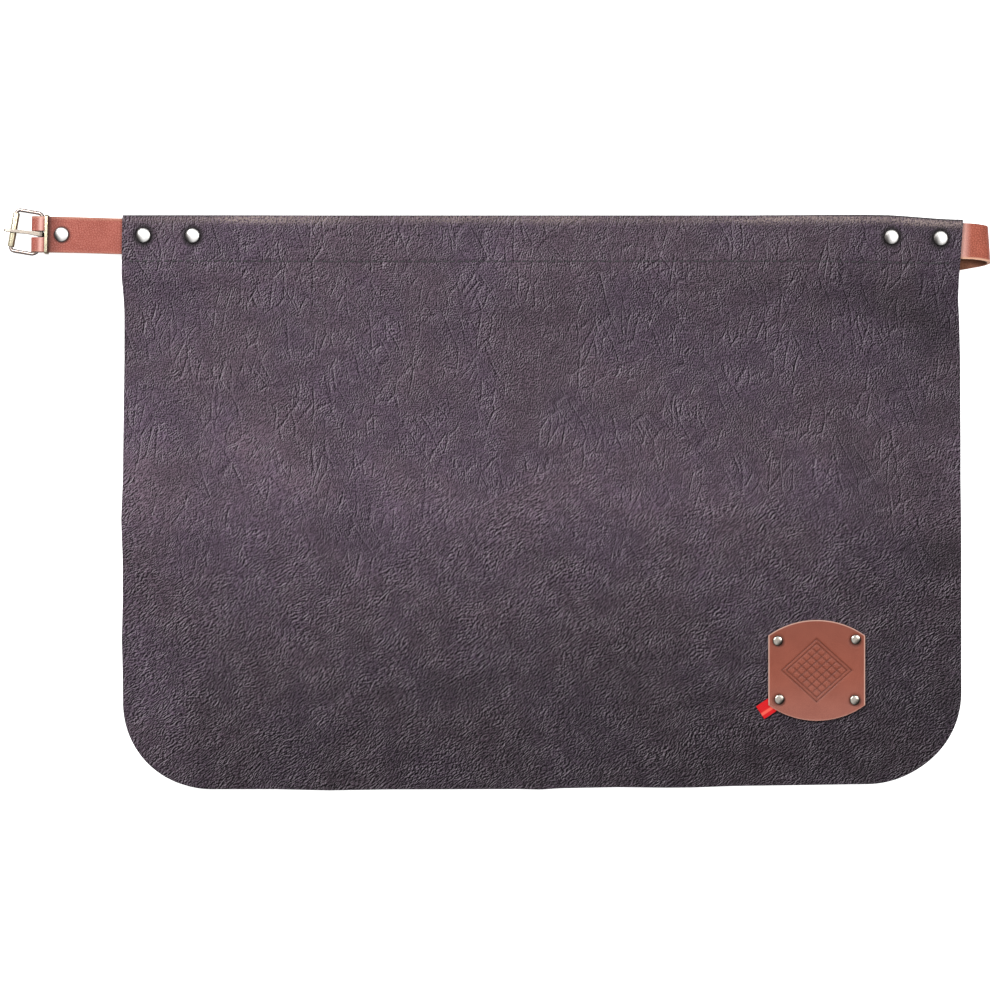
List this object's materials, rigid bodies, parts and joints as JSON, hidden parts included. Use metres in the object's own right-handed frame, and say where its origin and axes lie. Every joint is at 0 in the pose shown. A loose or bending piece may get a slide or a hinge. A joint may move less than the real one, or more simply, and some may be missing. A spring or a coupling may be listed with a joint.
{
  "type": "leather waist apron",
  "caption": "Waist apron of dark leather with a folded, stitched hem, riveted waist straps, a roller buckle with keeper, and a riveted leather patch with a ribbon tab, lying flat.",
  "frame": {"origin": "on the surface that the apron lies on, under the middle of its box", "axes": "+X along the hem towards the long strap, +Y from the free edge to the hem, +Z out of the leather's face"},
  "size_m": [0.6894, 0.4062, 0.0119],
  "materials": {
    "dark_leather": "pebbled, worn along the fold",
    "strap_leather": "smooth, semi-matt",
    "patch_leather": "smooth, tooled",
    "buckle_nickel": "polished wire",
    "pale_brass": "polished, pale",
    "rivet_nickel": "satin domes",
    "red_ribbon": "satin ribbon"
  },
  "bodies": {
    "apron": {"apron_panel": "dark_leather", "buckle_strap": "strap_leather", "long_strap": "strap_leather", "strap_rivet": "rivet_nickel", "hem_rivet_1": "rivet_nickel", "hem_rivet_2": "rivet_nickel", "hem_rivet_3": "rivet_nickel", "hem_rivet_4": "rivet_nickel", "leather_patch": "patch_leather", "patch_rivet_1": "rivet_nickel", "patch_rivet_2": "rivet_nickel", "patch_rivet_3": "rivet_nickel", "patch_rivet_4": "rivet_nickel", "red_tag": "red_ribbon"},
    "buckle": {"buckle_frame": "buckle_nickel"},
    "prong": {"buckle_prong": "buckle_nickel"},
    "roller": {"buckle_roller": "pale_brass"},
    "keeper": {"keeper_loop": "pale_brass"}
  },
  "joints": [
    {"name": "buckle_swing", "type": "hinge", "parent": "apron", "child": "buckle", "pos_m": [-0.3192, 0.18463, 0.005], "axis": [0.1736, 0.9848, 0], "range_deg": [0, 52]},
    {"name": "prong_swing", "type": "hinge", "parent": "buckle", "child": "prong", "pos_m": [-0.3192, 0.18463, 0.005], "axis": [0.1736, 0.9848, 0], "range_deg": [0, 35]},
    {"name": "roller_spin", "type": "hinge", "parent": "buckle", "child": "roller", "pos_m": [-0.33854, 0.18804, 0.00245], "axis": [0.1736, 0.9848, 0], "continuous": true},
    {"name": "keeper_slide", "type": "slide", "parent": "apron", "child": "keeper", "axis": [0.9997, -0.0227, 0], "range_m": [0, 0.0032]}
  ]
}
